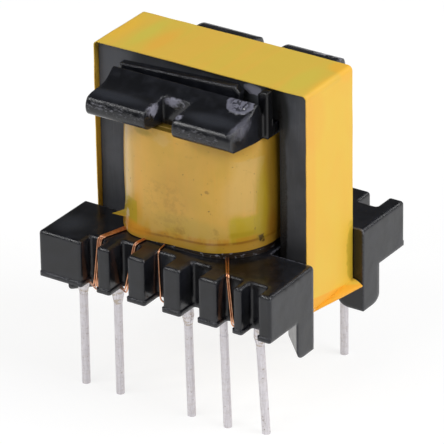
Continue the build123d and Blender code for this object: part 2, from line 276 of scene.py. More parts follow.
def spot(tree, place, centre, radius, soft=0.5, ragged=0.0):
    """A soft patch: 1 inside an ellipsoid round a point and 0 outside."""
    return remap(tree, reach(tree, place, centre, radius, ragged), 1.0 - soft, 1.0, 1.0, 0.0)


def tint(tree, colour, patches):
    """A colour with named patches laid over it in their order, each a factor, an amount and a colour."""
    for name, (factor, amount, other) in patches.items():
        colour = mix_colour(tree, product(tree, factor, amount), colour, other)
        colour.node.label = name
    return colour


def window(tree, value, low, high, soft):
    """1 where a value lies between two limits, with soft borders."""
    rising = remap(tree, value, low - soft, low)
    falling = remap(tree, value, high, high + soft, 1.0, 0.0)
    return product(tree, rising, falling)


def rounded_edges(tree, radius):
    """A normal that reads as if each edge were rounded by a radius in millimetres."""
    node = tree.nodes.new("ShaderNodeBevel")
    node.samples = 6
    node.inputs["Radius"].default_value = radius * MM
    return node.outputs["Normal"]


def edge_mask(tree, rounded):
    """1 along the edges of a piece, from how far its rounded normal turns off the face's own."""
    geometry = tree.nodes.new("ShaderNodeNewGeometry")
    turn = tree.nodes.new("ShaderNodeVectorMath")
    turn.operation = "DOT_PRODUCT"
    link(tree, geometry.outputs["Normal"], turn.inputs[0])
    link(tree, rounded, turn.inputs[1])
    return remap(tree, turn.outputs["Value"], 0.99, 0.86, 0.0, 1.0)


def axes_of(tree, vector):
    """The three parts of a vector."""
    node = tree.nodes.new("ShaderNodeSeparateXYZ")
    link(tree, vector, node.inputs["Vector"])
    return node.outputs["X"], node.outputs["Y"], node.outputs["Z"]


# Materials


def bobbin_marks(tree, place):
    """Masks by name for the varnish, the scuffs, the painted sheen and the painted highlights and reflections
    on the bobbin.
    """
    at = partial(spot, tree, place)
    drop_reach = reach(tree, place, (5.2, -5.0, 27.5), (1.3, 1.0, 0.9), 0.06)
    strokes = product(tree, noise_value(tree, place, 1.5, 2.0), 26.0)
    strokes = combine(tree, strokes, 0.0, "SINE")
    return SimpleNamespace(
        nose=highest(
            tree,
            at((-4.4, -8.75, 26.0), (3.2, 0.55, 0.6), 0.4, 0.2),
            at((3.4, -8.75, 25.7), (2.4, 0.5, 0.6), 0.4, 0.2),
        ),
        # The varnish drop is real varnish in roughness and bump; its paler colour and the arcs in it are
        # painted reflections.
        drop=remap(tree, drop_reach, 0.85, 1.0, 1.0, 0.0),
        arcs=highest(tree, remap(tree, strokes, -0.2, 0.6), remap(tree, drop_reach, 0.55, 0.8)),
        foot=at((3.7, -4.15, 27.6), (0.9, 0.22, 0.5), 0.5),
        pool=at((6.4, -6.9, 26.6), (0.5, 1.9, 1.3), 0.6, 0.1),
        corner=at((1.4, -7.9, 26.5), (0.42, 0.5, 0.5), 0.5, 0.1),
        # Painted sheen: the tops of the upper lips lightened toward their front.
        painted_sheen=highest(
            tree,
            at((4.0, -7.2, 26.8), (3.4, 1.1, 0.8), 0.7),
            at((-5.0, -7.5, 26.8), (4.2, 0.9, 0.8), 0.7),
        ),
        soaked=at((6.6, -6.6, 14.0), (6.0, 3.2, 0.6), 0.5, 0.1),
        notch=highest(
            tree,
            at((-1.4, -7.4, 26.2), (0.7, 1.0, 0.8), 0.5, 0.2),
            at((-0.35, -5.95, 26.6), (1.1, 0.4, 0.55), 0.5, 0.15),
        ),
        # The far lip's patch: glossier varnish that carries painted highlight streaks.
        far=at((5.2, 8.2, 26.6), (1.6, 0.7, 0.5), 0.4, 0.3),
    )


def bobbin_plastic():
    """Black moulded plastic: satin, faintly mottled, with rough noses and drops of clear varnish; painted
    highlights, painted sheen and painted reflections lie on its edges, noses, lips and varnish.
    """
    material, tree, shader = new_material("bobbin_plastic")
    place = position(tree)
    at = partial(spot, tree, place)
    z = axes_of(tree, place)[2]
    mottle = noise_value(tree, place, 0.8, 4.0)
    grain = noise_value(tree, place, 7.0, 4.0)
    chips = noise_value(tree, stretched(tree, place, (1.0, 2.0, 2.6)), 2.0, 4.0, 0.65)
    beads = noise_value(tree, place, 1.1, 2.0)
    ripple = noise_value(tree, place, 0.45, 1.0)
    marks = bobbin_marks(tree, place)
    varnish = highest(tree, marks.drop, marks.pool, marks.notch, marks.far)
    rounded = rounded_edges(tree, 0.32)
    brim = window(tree, z, COIL_LOW - 0.3, COIL_LOW + 0.2, 0.2)
    # Painted highlights: broken light lines along the edges, fullest along the rails' top edges, fainter high
    # up.
    painted_edge_glints = product(
        tree,
        edge_mask(tree, rounded),
        remap(tree, chips, 0.36, 0.54),
        remap(tree, brim, 0.0, 1.0, 0.25, 1.0),
        remap(tree, z, 22.0, 24.0, 1.0, 0.5),
    )
    # The noses' scuffs roughen the bump; their light grey colour is a painted highlight.
    scuffed_and_glinting = product(tree, marks.nose, remap(tree, chips, 0.5, 0.68))
    # Painted highlights: bright streaks over the varnish pool and the far lip's patch.
    painted_shine = product(tree, highest(tree, marks.pool, marks.far), remap(tree, beads, 0.46, 0.58))
    painted_shine = highest(tree, painted_shine, product(tree, marks.pool, 0.7))
    # Painted highlights on the varnish in the notches, at the corner and at the lip's foot.
    painted_glints = highest(tree, marks.notch, marks.corner, marks.foot)
    painted_glints = product(tree, painted_glints, remap(tree, beads, 0.36, 0.50))
    mottled = remap(tree, mottle, 0.35, 0.7)
    colour = mix_colour(tree, mottled, (0.0065, 0.0070, 0.0090), (0.013, 0.014, 0.0190))
    colour = tint(tree, colour, {
        # Painted highlights along the edges.
        "painted glints on the edges": (painted_edge_glints, 0.95, (0.20, 0.205, 0.25)),
        "shade at the lip's end": (at((6.7, -3.7, 26.4), (1.3, 1.2, 3.4), 0.3), 0.9, (0.003, 0.003, 0.004)),
        # Painted sheen: the front rail's left end lightened to a bluish grey.
        "painted sheen on the rail's left end": (at((-9.6, -7.6, 14.0), (2.6, 2.6, 0.5), 0.5), 0.9, (0.040, 0.044, 0.054)),
        # Painted sheen on the upper lips.
        "painted_sheen": (marks.painted_sheen, 0.8, (0.030, 0.033, 0.042)),
        "soaked rail": (marks.soaked, 0.8, (0.006, 0.004, 0.002)),
        # Painted highlights on the scuffed noses.
        "scuffed noses with painted highlights": (scuffed_and_glinting, 0.85, (0.17, 0.17, 0.20)),
        # Painted highlights on the pool and the far lip.
        "painted_shine": (painted_shine, 0.8, (0.17, 0.17, 0.21)),
        # Painted highlights on the varnish.
        "painted highlights on the varnish": (painted_glints, 0.9, (0.30, 0.30, 0.37)),
        # Painted reflections: the varnish drop paled, with bright arcs inside it.
        "drop": (marks.drop, 0.8, (0.050, 0.050, 0.065)),
        "painted reflection arcs in the varnish drop": (product(tree, marks.drop, marks.arcs), 0.9, (0.19, 0.19, 0.24)),
    })
    link(tree, colour, shader.inputs["Base Color"])
    rough = remap(tree, mottle, 0.3, 0.7, 0.13, 0.25)
    rough = combine(tree, rough, product(tree, varnish, 0.06), "SUBTRACT")
    link(tree, rough, shader.inputs["Roughness"])
    link(tree, remap(tree, marks.soaked, 0.0, 1.0, 0.5, 0.15), shader.inputs["Specular IOR Level"])
    relief = total(
        tree,
        product(tree, grain, 0.3),
        mottle,
        product(tree, scuffed_and_glinting, 3.5),
        product(tree, ripple, 2.0),
        product(tree, varnish, beads, 9.0),
    )
    link(tree, bump(tree, relief, 0.04, 0.6, rounded), shader.inputs["Normal"])
    return material


def ferrite():
    """Dark grey sintered ferrite with fine grain and faint grinding marks, with painted light, painted shade
    and a painted glint on its front face.
    """
    material, tree, shader = new_material("ferrite")
    place = position(tree)
    at = partial(spot, tree, place)
    cloud = noise_value(tree, place, 0.35, 3.0)
    grain = noise_value(tree, place, 14.0, 3.0)
    ground = noise_value(tree, stretched(tree, place, (5.0, 1.0, 0.25)), 1.5, 3.0)
    # Dark strip on the right leg beside the coil: a painted shadow of the coil, made glossier as varnish.
    stain = at((7.3, CORE_FRONT, 18.3), (0.72, 0.5, 9.8), 0.25, 0.06)
    glint = at((4.8, CORE_FRONT, 27.75), (0.95, 0.4, 0.5), 0.25, 0.1)
    colour = mix_colour(tree, remap(tree, cloud, 0.3, 0.7), (0.047, 0.050, 0.058), (0.074, 0.078, 0.090))
    colour = tint(tree, colour, {
        "grinding marks": (remap(tree, ground, 0.5, 0.75), 0.4, (0.095, 0.099, 0.112)),
        # Painted light: the upper left of the front face lightened.
        "pale left": (at((-9.0, CORE_FRONT, 27.0), (3.2, 0.5, 5.5), 0.9), 0.5, (0.115, 0.120, 0.138)),
        "glint of varnish": (glint, 0.9, (0.34, 0.34, 0.42)),
        # Painted shade: near black beside the post.
        "painted shade beside the post": (at((6.9, CORE_FRONT, 26.0), (1.5, 0.5, 3.3), 0.3), 0.95, (0.006, 0.006, 0.006)),
        # Painted shade: the right leg darker toward its foot.
        "painted shade low on the right leg": (at((9.0, CORE_FRONT, 13.8), (2.4, 0.5, 3.6), 0.8), 0.6, (0.020, 0.020, 0.021)),
        # Painted shade: the left leg's inner edge darkened by the coil and lip.
        "painted shade on the left leg's inner edge": (at((-7.0, CORE_FRONT, 18.0), (1.3, 0.5, 8.0), 0.6), 0.75, (0.014, 0.015, 0.018)),
        # Painted shadow of the coil, with varnish.
        "painted coil shadow with varnish": (stain, 0.93, (0.008, 0.007, 0.006)),
    })
    link(tree, colour, shader.inputs["Base Color"])
    rough = remap(tree, grain, 0.3, 0.7, 0.45, 0.62)
    rough = combine(tree, rough, product(tree, stain, 0.25), "SUBTRACT")
    link(tree, rough, shader.inputs["Roughness"])
    shader.inputs["Specular IOR Level"].default_value = 0.4
    link(tree, bump(tree, grain, 0.02, 0.5, rounded_edges(tree, 0.06)), shader.inputs["Normal"])
    return material


def core_tape_finish():
    """Yellow polyester tape: golden, with green and orange bands where the glue shows through, its top
    painted a little darker as shade.
    """
    material, tree, shader = new_material("core_tape")
    place = position(tree)
    at = partial(spot, tree, place)
    x, y, z = axes_of(tree, place)
    bands = noise_value(tree, stretched(tree, place, (1.0, 0.15, 0.05)), 0.38, 2.0)
    drift = noise_value(tree, stretched(tree, place, (0.5, 0.5, 0.3)), 0.6, 2.0)
    fine = noise_value(tree, stretched(tree, place, (3.0, 3.0, 0.8)), 2.0, 3.0)
    # The top: painted shade makes it a little darker, and its tone is a little greener.
    top = remap(tree, z, BAND_HIGH - 0.75, BAND_HIGH - 0.15)
    side = remap(tree, x, BAND_HALF - 0.35, BAND_HALF - 0.15)
    fold_height = total(tree, z, product(tree, y, 0.17))
    folded = product(tree, remap(tree, fold_height, 10.0, 10.14, 1.0, 0.0), side)
    greener = product(tree, remap(tree, bands, 0.40, 0.58), top)
    olive = at((BAND_HALF, 3.5, 12.2), (0.6, 0.85, 3.2), 0.35, 0.1)
    colour = mix_colour(tree, remap(tree, drift, 0.35, 0.65), (0.87, 0.56, 0.065), (0.88, 0.53, 0.060))
    colour = tint(tree, colour, {
        # Painted shade on the top, a little greener in tone.
        "top": (top, 0.8, (0.79, 0.505, 0.080)),
        "greener bands": (greener, 0.5, (0.72, 0.55, 0.075)),
        "orange left end": (at((-9.6, 0.3, BAND_HIGH), (1.5, 4.5, 1.0), 0.8), 0.7, (0.92, 0.53, 0.055)),
        "green on the left": (at((-7.2, 0.5, BAND_HIGH), (1.0, 4.5, 1.0), 0.8), 0.8, (0.68, 0.58, 0.085)),
        "orange on the left": (at((-5.3, -0.3, BAND_HIGH), (1.2, 4.0, 1.0), 0.8), 0.75, (0.88, 0.47, 0.065)),
        "green on the right": (at((8.2, -0.5, BAND_HIGH), (1.4, 3.6, 1.0), 0.7), 0.6, (0.70, 0.58, 0.080)),
        "orange rear corner": (at((9.7, 3.0, 28.4), (1.6, 1.5, 1.2)), 0.8, (0.93, 0.50, 0.050)),
        "warm right edge": (at((10.0, -0.5, 28.6), (0.9, 2.8, 0.6), 0.8), 0.5, (0.93, 0.53, 0.060)),
        "orange front border": (at((BAND_HALF, -2.7, 20.0), (0.6, 1.2, 14.0)), 0.45, (0.90, 0.45, 0.060)),
        "orange high border": (at((BAND_HALF, -2.0, 26.0), (0.6, 2.2, 3.5)), 0.35, (0.90, 0.44, 0.060)),
        "olive low corner": (olive, 0.75, (0.52, 0.36, 0.020)),
        "folded corner": (folded, 0.85, (0.95, 0.43, 0.030)),
    })
    link(tree, colour, shader.inputs["Base Color"])
    shader.inputs["Roughness"].default_value = 0.42
    shader.inputs["Specular IOR Level"].default_value = 0.3
    link(tree, bump(tree, fine, 0.012, 0.4), shader.inputs["Normal"])
    return material


def coil_marks(tree, place, cloud, streak, smudge):
    """Masks by name for where the coil's tape is stained, lapped or folded, and for its painted reflection
    and painted shade.
    """
    x, y, z = axes_of(tree, place)
    blotch = noise_value(tree, place, 1.9, 4.0, 0.65)
    sway = remap(tree, cloud, 0.3, 0.7, -0.03, 0.03)
    turn = total(tree, combine(tree, y, x, "ARCTAN2"), sway)
    rise = total(tree, z, product(tree, sway, 6.0))
    leaning = total(tree, turn, product(tree, z, -0.019))
    slant = combine(tree, z, product(tree, x, 0.08), "SUBTRACT")
    return SimpleNamespace(
        # Painted reflection: a pale field on the front right, with a crisp edge.
        pale=product(
            tree,
            remap(tree, leaning, -1.40, -1.20),
            remap(tree, leaning, -0.966, -0.954, 1.0, 0.0),
            remap(tree, rise, 17.6, 18.8),
            remap(tree, rise, 22.8, 23.0, 1.0, 0.0),
        ),
        loose=product(
            tree,
            window(tree, x, -8.0, -3.65, 0.1),
            window(tree, z, 15.5, 17.4, 0.25),
            remap(tree, y, -4.0, -4.5),
        ),
        low_stain=product(tree, window(tree, turn, -0.86, -0.60, 0.06), window(tree, rise, 15.9, 17.8, 0.5)),
        blotches=product(
            tree,
            spot(tree, place, (-0.6, -7.2, 18.0), (2.6, 2.0, 3.2), 0.5),
            remap(tree, blotch, 0.44, 0.66),
        ),
        grime=product(
            tree,
            window(tree, turn, -0.60, -0.55, 0.02),
            window(tree, z, 15.45, 16.0, 0.2),
            remap(tree, blotch, 0.40, 0.50),
        ),
        seam=product(tree, window(tree, turn, -0.646, -0.638, 0.010), window(tree, z, 16.2, 20.6, 0.8)),
        band=product(tree, window(tree, slant, 15.2, 15.55, 0.3), remap(tree, streak, 0.35, 0.6)),
        fold=product(tree, window(tree, slant, 15.18, 15.30, 0.12), remap(tree, smudge, 0.30, 0.50)),
        hem=remap(tree, slant, 15.0, 15.25, 1.0, 0.0),
        shaded_foot=remap(tree, z, 18.5, 15.5),
    )


def coil_front_stains_and_painted_light(tree, place, marks, streak):
    """Patches of colour on the front of the coil's tape, stains and painted light among them, in the order in
    which they cover each other.
    """
    at = partial(spot, tree, place)
    return {
        "warm streaks": (remap(tree, streak, 0.5, 0.72), 0.35, (0.80, 0.40, 0.055)),
        "brown middle": (at((0.2, -7.2, 19.4), (3.2, 2.0, 3.4), 0.7), 0.5, (0.62, 0.35, 0.060)),
        "olive low middle": (at((1.6, -7.2, 16.6), (4.6, 2.0, 1.3), 0.6), 0.55, (0.55, 0.38, 0.060)),
        # Painted light: the coil's left border lightened.
        "painted light on the left border": (at((-4.7, -6.8, 20.0), (0.75, 1.2, 5.0), 0.6), 0.7, (0.86, 0.56, 0.14)),
        "orange stripe": (at((-3.4, -7.15, 19.0), (0.8, 1.0, 4.4), 0.6), 0.55, (0.84, 0.40, 0.050)),
        "warm left half": (at((-2.8, -7.2, 20.5), (2.4, 1.8, 5.5), 0.9), 0.5, (0.88, 0.50, 0.10)),
        "olive top": (at((-2.9, -7.2, 23.95), (1.3, 1.5, 0.45), 0.7, 0.1), 0.65, (0.40, 0.28, 0.025)),
        "pale top": (at((-0.9, -7.2, 23.7), (1.0, 1.5, 0.8), 0.6, 0.2), 0.5, (0.74, 0.48, 0.14)),
        "brown top right": (at((5.4, -5.6, 24.2), (2.2, 2.0, 1.2), 0.5), 0.6, (0.58, 0.31, 0.022)),
        # Painted reflection of the floor.
        "painted reflection of the floor": (marks.pale, 0.5, (0.72, 0.48, 0.16)),
        "green stain": (marks.low_stain, 0.85, (0.53, 0.39, 0.013)),
        "shaded foot": (marks.shaded_foot, 0.35, (0.50, 0.31, 0.040)),
        "seam": (marks.seam, 0.12, (0.34, 0.22, 0.030)),
        "orange band": (marks.band, 0.65, (0.60, 0.27, 0.022)),
        "dark fold": (marks.fold, 0.6, (0.28, 0.11, 0.018)),
        "brown blotches": (marks.blotches, 0.35, (0.42, 0.24, 0.040)),
        "brown speck": (at((3.25, -7.0, 20.15), (0.28, 0.8, 0.24), 0.7, 0.4), 0.6, (0.30, 0.16, 0.03)),
        "low smudge": (at((0.7, -7.1, 16.0), (0.9, 0.8, 0.4), 0.9, 0.6), 0.45, (0.34, 0.17, 0.03)),
        "low right smudge": (at((3.9, -7.0, 16.6), (0.4, 0.8, 0.6), 0.9, 0.6), 0.4, (0.34, 0.20, 0.03)),
    }


def coil_side_painted_shade_and_hem_stains(tree, place, marks, smudge, dirt):
    """Patches of colour over those of the front, on the tape's right side, where they are painted shade with
    olive and brown tints, and along its lower edge.
    """
    at = partial(spot, tree, place)
    return {
        "loose corner": (marks.loose, 0.75, (0.54, 0.38, 0.022)),
        # Painted shade: the right side darkened where it turns into the core's window, with olive and brown
        # tints.
        "painted shade on the right side": (at((6.8, -2.4, 20.0), (0.9, 2.8, 9.0), 0.7), 0.9, (0.31, 0.175, 0.012)),
        "olive right side in painted shade": (at((6.55, -4.1, 18.6), (0.55, 1.1, 5.6), 0.7), 0.75, (0.48, 0.34, 0.012)),
        "brown low right side in painted shade": (at((6.75, -2.9, 16.6), (0.5, 1.0, 2.2), 0.8), 0.6, (0.36, 0.15, 0.012)),
        "hem": (marks.hem, 0.6, (0.52, 0.27, 0.028)),
        "pale glue": (at((-5.0, -6.15, 15.2), (0.4, 0.5, 1.0), 0.4, 0.35), 0.8, (0.72, 0.58, 0.40)),
        "orange hem": (at((-4.2, -6.8, 15.1), (3.0, 1.4, 0.75), 0.6), 0.75, (0.78, 0.33, 0.025)),
        "olive hem": (at((3.4, -7.0, 14.9), (3.2, 1.4, 0.6), 0.6), 0.45, (0.48, 0.32, 0.025)),
        "smudges": (remap(tree, smudge, 0.62, 0.8), 0.35, (0.42, 0.26, 0.050)),
        "dirt": (remap(tree, dirt, 0.70, 0.74), 0.75, (0.16, 0.09, 0.030)),
        "grime": (marks.grime, 0.85, (0.05, 0.03, 0.012)),
    }


def coil_tape_finish():
    """The same tape over copper and varnish, so amber, with olive and orange stains, painted light, painted
    shade and a painted reflection.
    """
    material, tree, shader = new_material("coil_tape")
    place = position(tree)
    cloud = noise_value(tree, place, 0.4, 3.0)
    streak = noise_value(tree, stretched(tree, place, (2.0, 2.0, 0.25)), 0.8, 3.0)
    smudge = noise_value(tree, stretched(tree, place, (1.0, 1.0, 1.4)), 1.3, 4.0)
    dirt = noise_value(tree, place, 3.1, 2.0)
    marks = coil_marks(tree, place, cloud, streak, smudge)
    colour = mix_colour(tree, remap(tree, cloud, 0.35, 0.65), (0.67, 0.40, 0.058), (0.73, 0.42, 0.068))
    colour = tint(tree, colour, coil_front_stains_and_painted_light(tree, place, marks, streak))
    colour = tint(tree, colour, coil_side_painted_shade_and_hem_stains(tree, place, marks, smudge, dirt))
    link(tree, colour, shader.inputs["Base Color"])
    shader.inputs["Roughness"].default_value = 0.26
    shader.inputs["Specular IOR Level"].default_value = 0.4
    relief = total(tree, streak, product(tree, smudge, 0.6))
    link(tree, bump(tree, relief, 0.04, 0.5), shader.inputs["Normal"])
    return material


def winding_finish():
    """Copper turns soaked in varnish, seen as a brown ribbed edge under the tape."""
    material, tree, shader = new_material("winding")
    place = position(tree)
    z = axes_of(tree, place)[2]
    turns = combine(tree, product(tree, z, 34.0), 0.0, "SINE")
    stain = noise_value(tree, place, 1.5, 3.0)
    soaked = remap(tree, z, COIL_LOW + 1.1, COIL_LOW + 1.5, 1.0, 0.0)
    flecks = remap(tree, noise_value(tree, place, 3.4, 2.0), 0.60, 0.66)
    flecks = product(tree, flecks, remap(tree, z, COIL_LOW + 0.4, COIL_LOW + 0.6, 1.0, 0.0))
    top = remap(tree, z, COIL_HIGH - 0.10, COIL_HIGH - 0.04)
    colour = mix_colour(tree, remap(tree, stain, 0.3, 0.7), (0.16, 0.065, 0.022), (0.34, 0.17, 0.06))
    colour = tint(tree, colour, {
        "soaked foot": (soaked, 0.95, (0.014, 0.010, 0.007)),
        "flecks": (flecks, 0.8, (0.30, 0.30, 0.34)),
        "tape's edge on top": (top, 0.95, (0.52, 0.33, 0.045)),
    })
    link(tree, colour, shader.inputs["Base Color"])
    metallic = combine(tree, 0.5, product(tree, soaked, 0.5), "SUBTRACT")
    link(tree, metallic, shader.inputs["Metallic"])
    shader.inputs["Roughness"].default_value = 0.3
    link(tree, bump(tree, total(tree, turns, stain), 0.02, 0.5), shader.inputs["Normal"])
    return material


def glued_side_in_painted_shade():
    """The tape's glued side, its dark brown partly the glue and partly painted shade."""
    material, tree, shader = new_material("tape_glued_side_painted_shade")
    place = position(tree)
    streak = noise_value(tree, stretched(tree, place, (1.0, 1.0, 0.3)), 1.4, 3.0)
    colour = mix_colour(tree, remap(tree, streak, 0.35, 0.65), (0.10, 0.045, 0.012), (0.17, 0.085, 0.020))
    link(tree, colour, shader.inputs["Base Color"])
    link(tree, remap(tree, streak, 0.3, 0.7, 0.4, 0.6), shader.inputs["Roughness"])
    link(tree, bump(tree, streak, 0.02, 0.5), shader.inputs["Normal"])
    return material


def copper():
    """Enamelled copper wire."""
    material, tree, shader = new_material("enamelled_copper")
    place = position(tree)
    fine = noise_value(tree, place, 3.0, 3.0)
    colour = mix_colour(tree, remap(tree, fine, 0.3, 0.7), (0.60, 0.24, 0.11), (0.80, 0.42, 0.24))
    link(tree, colour, shader.inputs["Base Color"])
    shader.inputs["Metallic"].default_value = 1.0
    shader.inputs["Roughness"].default_value = 0.3
    shader.inputs["Coat Weight"].default_value = 0.6
    link(tree, bump(tree, fine, 0.01, 0.5), shader.inputs["Normal"])
    return material


def tinned(name, rough, flux):
    """Tin on steel wire or in a solder joint: pale, faintly drawn lengthwise, with some burnt flux."""
    material, tree, shader = new_material(name)
    place = position(tree)
    drawn = noise_value(tree, stretched(tree, place, (5.0, 5.0, 0.5)), 1.5, 4.0)
    spots = noise_value(tree, place, 4.0, 3.0)
    colour = mix_colour(tree, remap(tree, drawn, 0.35, 0.7), (0.64, 0.61, 0.64), (0.80, 0.77, 0.80))
    colour = mix_colour(tree, remap(tree, spots, 0.60, 0.75), colour, (0.42, 0.38, 0.36))
    burnt = noise_value(tree, stretched(tree, place, (1.0, 1.0, 2.6)), 1.5, 3.0)
    colour = tint(tree, colour, {"burnt flux": (remap(tree, burnt, 0.46, 0.62), flux, (0.42, 0.34, 0.24))})
    link(tree, colour, shader.inputs["Base Color"])
    shader.inputs["Metallic"].default_value = 0.75
    link(tree, remap(tree, drawn, 0.3, 0.7, rough, rough + 0.15), shader.inputs["Roughness"])
    link(tree, bump(tree, drawn, 0.02, 0.6), shader.inputs["Normal"])
    return material


def layer_tape_finish():
    """Tape between the windings."""
    material, tree, shader = new_material("layer_tape")
    place = position(tree)
    cloud = noise_value(tree, place, 0.6, 3.0)
    colour = mix_colour(tree, remap(tree, cloud, 0.35, 0.65), (0.72, 0.46, 0.12), (0.8, 0.54, 0.16))
    link(tree, colour, shader.inputs["Base Color"])
    shader.inputs["Roughness"].default_value = 0.4
    return material


def studio_white():
    """A floor that reads as white and still takes the object's shadow."""
    glow_strength = 0.83
    shadow_grey = (0.22, 0.22, 0.22, 1.0)
    bounce_grey = (0.8, 0.8, 0.8, 1.0)
    material, tree, shader = new_material("studio_white")
    tree.nodes.remove(shader)
    output = next(node for node in tree.nodes if node.type == "OUTPUT_MATERIAL")
    path = tree.nodes.new("ShaderNodeLightPath")
    rays = ("Is Camera Ray", "Is Glossy Ray", "Is Transmission Ray")
    seen = highest(tree, *(path.outputs[ray] for ray in rays))
    glow = tree.nodes.new("ShaderNodeEmission")
    glow.inputs["Strength"].default_value = glow_strength
    lit = tree.nodes.new("ShaderNodeBsdfDiffuse")
    lit.inputs["Color"].default_value = shadow_grey
    plain = tree.nodes.new("ShaderNodeBsdfDiffuse")
    plain.inputs["Color"].default_value = bounce_grey
    both = tree.nodes.new("ShaderNodeAddShader")
    choice = tree.nodes.new("ShaderNodeMixShader")
    link(tree, glow.outputs[0], both.inputs[0])
    link(tree, lit.outputs[0], both.inputs[1])
    link(tree, seen, choice.inputs[0])
    link(tree, plain.outputs[0], choice.inputs[1])
    link(tree, both.outputs[0], choice.inputs[2])
    link(tree, choice.outputs[0], output.inputs["Surface"])
    return material


def dress(material, *words):
    """Give a material to every CAD node whose name starts or ends with one of the words."""
    for name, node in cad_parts.items():
        if any(name.startswith(word) or name.endswith(word) for word in words):
            node.data.materials.clear()
            node.data.materials.append(material)


dress(bobbin_plastic(), "bobbin")
dress(ferrite(), "_core")
dress(layer_tape_finish(), "primary_tape", "secondary_tape", "auxiliary_tape")
dress(copper(), "lead_")
dress(winding_finish(), "primary_winding", "secondary_winding", "auxiliary_winding", "outer_winding")
dress(tinned("tinned_pin", rough=0.3, flux=0.12), "pin_")
dress(tinned("solder", rough=0.22, flux=0.7), "solder_")


# Pieces built anew


def rounded_loop(half_x, half_y, radius, straight_steps, corner_steps):
    """Points round a rectangle with rounded corners, each with its outward normal."""
    loop = []
    signs = ((1, 1), (-1, 1), (-1, -1), (1, -1))
    for quarter, (sign_x, sign_y) in enumerate(signs):
        centre = Vector((sign_x * (half_x - radius), sign_y * (half_y - radius)))
        for step in range(corner_steps + 1):
            angle = math.pi / 2 * (quarter + step / corner_steps)
            normal = Vector((math.cos(angle), math.sin(angle)))
            loop.append((centre + normal * radius, normal))
        start, normal = loop[-1]
        next_x, next_y = signs[(quarter + 1) % 4]
        end = Vector((next_x * (half_x - radius), next_y * (half_y - radius))) + normal * radius
        for step in range(1, straight_steps):
            loop.append((start.lerp(end, step / straight_steps), normal))
    return loop


def sheet(name, outer, inner, closed):
    """A thin sheet between two grids of points in millimetres, closed round its rim, its inside in slot 1."""
    mesh = bmesh.new()
    grids = []
    for grid in (outer, inner):
        grids.append([[mesh.verts.new(Vector(point) * MM) for point in row] for row in grid])
    count = len(outer)
    last = count if closed else count - 1
    width = len(outer[0]) - 1
    rims = []
    top, under = grids
    for i in range(last):
        k = (i + 1) % count
        for slot, grid in enumerate(grids):
            for j in range(width):
                face = mesh.faces.new((grid[i][j], grid[k][j], grid[k][j + 1], grid[i][j + 1]))
                face.material_index = slot
        for j in (0, width):
            rims.append(mesh.faces.new((top[i][j], top[k][j], under[k][j], under[i][j])))
    if not closed:
        for i in (0, last):
            for j in range(width):
                rims.append(mesh.faces.new((top[i][j], top[i][j + 1], under[i][j + 1], under[i][j])))
    bmesh.ops.recalc_face_normals(mesh, faces=mesh.faces)
    for face in mesh.faces:
        face.smooth = True
    for face in rims:
        for edge in face.edges:
            edge.smooth = False
    data = bpy.data.meshes.new(name)
    mesh.to_mesh(data)
    mesh.free()
    piece = bpy.data.objects.new(name, data)
    bpy.context.scene.collection.objects.link(piece)
    return piece


def join(name, pieces):
    """Several pieces made one."""
    mesh = bmesh.new()
    for piece in pieces:
        mesh.from_mesh(piece.data)
    data = pieces[0].data
    mesh.to_mesh(data)
    mesh.free()
    for piece in pieces[1:]:
        bpy.data.objects.remove(piece)
    pieces[0].name = name
    return pieces[0]


def wander(seed, a, b, c):
    """Smooth noise between -1 and 1."""
    return noise.noise(Vector((a + seed * 17.3, b - seed * 9.1, c + seed * 5.7)))


def clamp(value):
    """A value kept between 0 and 1."""
    return max(0.0, min(1.0, value))


def standing_off(point, normal, rise, z):
    """A point of the coil's outline at a height, moved outward by a rise."""
    return (point.x + normal.x * rise, point.y + normal.y * rise, z)


def core_band():
    """The tape's one turn round the core, slightly slack, with uneven edges."""
    half_z = (BAND_HIGH - BAND_LOW) / 2
    middle_z = (BAND_HIGH + BAND_LOW) / 2
    outer, inner = [], []
    for point, normal in rounded_loop(BAND_HALF, half_z, BAND_CORNER, BAND_SIDE_STEPS, BAND_CORNER_STEPS):
        x, z = point.x, point.y + middle_z
        front = BAND_FRONT + BAND_EDGE_WAVER * wander(1, x * 0.5, z * 0.5, 0)
        back = BAND_BACK + BAND_EDGE_WAVER * wander(2, x * 0.5, z * 0.5, 0)
        outer_row, inner_row = [], []
        for column in range(BAND_COLUMNS + 1):
            y = front + (back - front) * column / BAND_COLUMNS
            slack = BAND_SLACK * wander(3, x * 0.22, y * 0.4, z * 0.22)
            ripple = BAND_RIPPLE * wander(4, x * 0.9, y * 0.9, z * 0.9)
            rise = slack + ripple - BAND_INSET
            outer_row.append((x + normal.x * rise, y, z + normal.y * rise))
            rise -= BAND_THICKNESS
            inner_row.append((x + normal.x * rise, y, z + normal.y * rise))
        outer.append(outer_row)
        inner.append(inner_row)
    return sheet("band", outer, inner, True)


def core_flap():
    """The tape's end at the core's lower right, its rear corner flared outward."""
    start = 0.02
    into_tape = Vector((-0.03, 0.0, -FLAP_THICKNESS))
    outer, inner = [], []
    for step in range(FLAP_STEPS + 1):
        along = start + (1 - start) * step / FLAP_STEPS
        folded = FLAP_FOLD_FRONT.lerp(FLAP_FOLD_BACK, along)
        flared = FLAP_FOLD_FRONT.lerp(FLAP_TIP, along)
        outer_row, inner_row = [], []
        for column in range(FLAP_COLUMNS + 1):
            out = column / FLAP_COLUMNS
            curl = FLAP_CURL * math.sin(math.pi * out) * along
            waver = FLAP_WAVER * wander(6, along * 4, out * 2, 0)
            point = folded.lerp(flared, out) + Vector((0.0, 0.0, curl + waver))
            outer_row.append(tuple(point))
            inner_row.append(tuple(point + into_tape))
        outer.append(outer_row)
        inner.append(inner_row)
    return sheet("flap", outer, inner, False)


